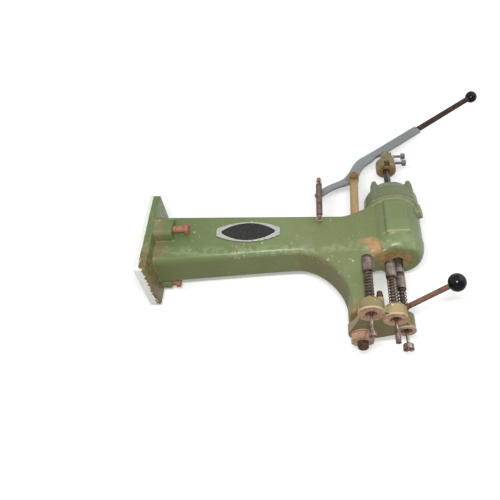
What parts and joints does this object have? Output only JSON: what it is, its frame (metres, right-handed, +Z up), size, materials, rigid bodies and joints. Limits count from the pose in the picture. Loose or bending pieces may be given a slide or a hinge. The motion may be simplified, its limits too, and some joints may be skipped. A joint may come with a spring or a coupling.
{
  "type": "knothole drilling machine",
  "caption": "Wall-mounted knothole drilling machine: a cast arm with a vertical motor, a hand lever that feeds the quill, and a swinging turret of sprung tool spindles.",
  "frame": {"origin": "middle of the flange's wall face, level with the middle of the flange", "axes": "+X out from the wall along the arm, +Z up along the drilling axis, -Y the operator's side"},
  "size_m": [0.7524, 0.1565, 0.7123],
  "materials": {
    "green_paint": "worn semi-gloss enamel",
    "lever_paint": "semi-gloss enamel",
    "rusty_iron": "rusty, matt",
    "bare_rod": "browned bare steel",
    "black_knob": "gloss",
    "spring_steel": "dark oiled",
    "bright_steel": "ground",
    "steel": "dull machined",
    "copper": "varnished wire",
    "laminations": "stacked sheet",
    "bronze": "machined",
    "badge": "plain black field, bare rim"
  },
  "bodies": {
    "frame": {"arm_casting": "green_paint", "motor_cap": "green_paint", "cap_screw_1": "steel", "cap_screw_2": "steel", "cap_screw_3": "steel", "cap_screw_4": "steel", "stator_core": "laminations", "stator_windings": "copper", "lower_bearing": "steel", "upper_bearing": "steel", "bearing_retainer": "rusty_iron", "inlet_ring": "rusty_iron", "badge_plate": "badge", "flange_bolt_front": "rusty_iron", "flange_bolt_back": "rusty_iron", "lever_post": "rusty_iron", "post_screw_1": "steel", "post_screw_2": "steel", "pivot_bolt": "rusty_iron", "pivot_nut": "rusty_iron", "spring_stud": "rusty_iron", "turret_stud": "rusty_iron", "turret_washer": "rusty_iron", "turret_nut": "rusty_iron", "return_spring": "spring_steel"},
    "lever": {"lever_bar": "lever_paint", "lever_rod": "bare_rod", "lever_ball": "black_knob", "tail_pin": "steel"},
    "yoke": {"yoke": "green_paint", "roller_pin": "steel", "yoke_screw_upper": "steel", "yoke_screw_lower": "steel", "thrust_bearing": "steel", "yoke_cover": "rusty_iron"},
    "roller": {"roller": "steel"},
    "quill": {"quill": "steel", "quill_collar": "steel", "drive_dog": "steel"},
    "rotor": {"rotor_core": "laminations", "rotor_shaft": "steel", "drive_key": "steel", "cooling_fan": "steel"},
    "turret": {"turret_casting": "green_paint", "turret_bush": "bronze", "turret_rod": "bare_rod", "turret_ball": "black_knob", "oil_cup": "bare_rod", "tool_spring_a": "spring_steel", "tool_spring_b": "spring_steel", "tool_spring_c": "spring_steel"},
    "cup_a": {"spring_cup_a": "steel"},
    "cup_b": {"spring_cup_b": "steel"},
    "cup_c": {"spring_cup_c": "steel"},
    "spindle_a": {"tool_spindle_a": "steel", "knot_bit_a": "bright_steel"},
    "spindle_b": {"tool_spindle_b": "steel", "knot_bit_b": "bright_steel"},
    "spindle_c": {"tool_spindle_c": "steel", "knot_bit_c": "bright_steel"}
  },
  "joints": [
    {"name": "lever_swing", "type": "hinge", "parent": "frame", "child": "lever", "pos_m": [0.425, 0, 0.1815], "axis": [0, 1, 0], "range_deg": [0, 30], "stiffness_Nm_per_rad": 8, "springref_deg": -28.65, "deforming": ["return_spring", "tool_spring_c"]},
    {"name": "yoke_slide", "type": "slide", "parent": "frame", "child": "yoke", "axis": [0, 0, -1], "range_m": [0, 0.05]},
    {"name": "roller_spin", "type": "hinge", "parent": "yoke", "child": "roller", "pos_m": [0.5, 0, 0.25104], "axis": [0, 1, 0], "continuous": true},
    {"name": "motor_spin", "type": "hinge", "parent": "yoke", "child": "quill", "pos_m": [0.5, 0, 0], "axis": [0, 0, 1], "continuous": true},
    {"name": "rotor_spin", "type": "hinge", "parent": "frame", "child": "rotor", "pos_m": [0.5, 0, 0], "axis": [0, 0, 1], "continuous": true},
    {"name": "turret_swing", "type": "hinge", "parent": "frame", "child": "turret", "pos_m": [0.42122, 0.01389, -0.18], "axis": [0, 0, 1], "range_deg": [-18, 90]},
    {"name": "tool_slide_a", "type": "slide", "parent": "turret", "child": "cup_a", "axis": [0, 0, -1], "range_m": [0, 0.05], "stiffness_N_per_m": 500, "springref_m": -0.02, "deforming": ["tool_spring_a"]},
    {"name": "tool_slide_b", "type": "slide", "parent": "turret", "child": "cup_b", "axis": [0, 0, -1], "range_m": [0, 0.05], "stiffness_N_per_m": 500, "springref_m": -0.02, "deforming": ["tool_spring_b"]},
    {"name": "tool_slide_c", "type": "slide", "parent": "turret", "child": "cup_c", "axis": [0, 0, -1], "range_m": [0, 0.05], "stiffness_N_per_m": 500, "springref_m": -0.02},
    {"name": "tool_spin_a", "type": "hinge", "parent": "cup_a", "child": "spindle_a", "pos_m": [0.43235, -0.06533, -0.12], "axis": [0, 0, 1], "continuous": true},
    {"name": "tool_spin_b", "type": "hinge", "parent": "cup_b", "child": "spindle_b", "pos_m": [0.47679, -0.04365, -0.12], "axis": [0, 0, 1], "continuous": true},
    {"name": "tool_spin_c", "type": "hinge", "parent": "cup_c", "child": "spindle_c", "pos_m": [0.5, 0, -0.12], "axis": [0, 0, 1], "continuous": true}
  ],
  "couplings": [
    {"joint": "yoke_slide", "follows": "lever_swing", "m_per_rad": 0.095492},
    {"joint": "tool_slide_c", "follows": "lever_swing", "m_per_rad": 0.095492},
    {"joint": "rotor_spin", "follows": "motor_spin", "ratio": 1},
    {"joint": "tool_spin_c", "follows": "motor_spin", "ratio": 1}
  ]
}
